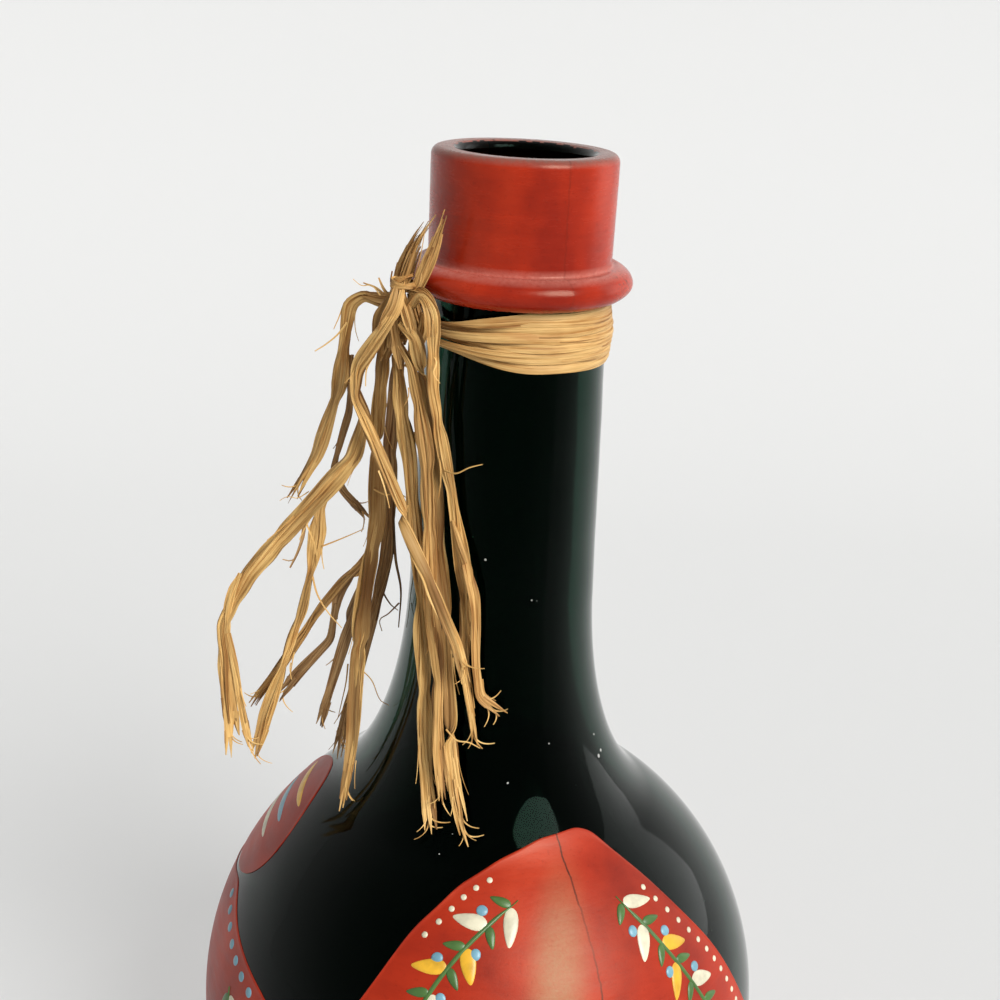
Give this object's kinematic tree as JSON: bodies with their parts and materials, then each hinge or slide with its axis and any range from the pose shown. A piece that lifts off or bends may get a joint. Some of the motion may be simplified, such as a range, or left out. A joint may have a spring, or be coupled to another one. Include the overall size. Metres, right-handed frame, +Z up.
{
  "type": "glass bottle",
  "caption": "Globe-shaped dark glass bottle with a long flared neck, ring bead, lacquered collar and open mouth, tied under the ring with knotted raffia.",
  "frame": {"origin": "on the floor under the bottle's axis, at the middle of its base", "axes": "+Z up the bottle's axis to its mouth, -Y towards the front, the raffia knot at the front left, so at -X and -Y"},
  "size_m": [0.1174, 0.1174, 0.225],
  "materials": {
    "green_glass": "glossy, almost black bottle green",
    "red_lacquer": "hand-brushed semi-gloss red, worn at the rim",
    "straw": "split raffia, dry, grooved lengthwise",
    "dark_straw": "split raffia, darkened with age"
  },
  "bodies": {
    "root": {"bottle": "green_glass", "neck_winding": "straw", "knot": "straw", "tuft_1": "straw", "tuft_2": "straw", "tuft_3": "straw", "right_tail_1": "straw", "right_tail_2": "straw", "right_tail_3": "straw", "right_tail_4": "straw", "right_tail_5": "straw", "cross_tail": "straw", "centre_tail": "straw", "rear_tail": "dark_straw", "left_fold": "straw", "left_short_tail": "dark_straw", "left_curl": "dark_straw", "far_left_tail": "straw", "far_left_fork": "straw", "middle_left_tail": "straw", "slanting_tail": "straw", "slanting_fork": "dark_straw", "dark_tail": "dark_straw"}
  },
  "joints": []
}
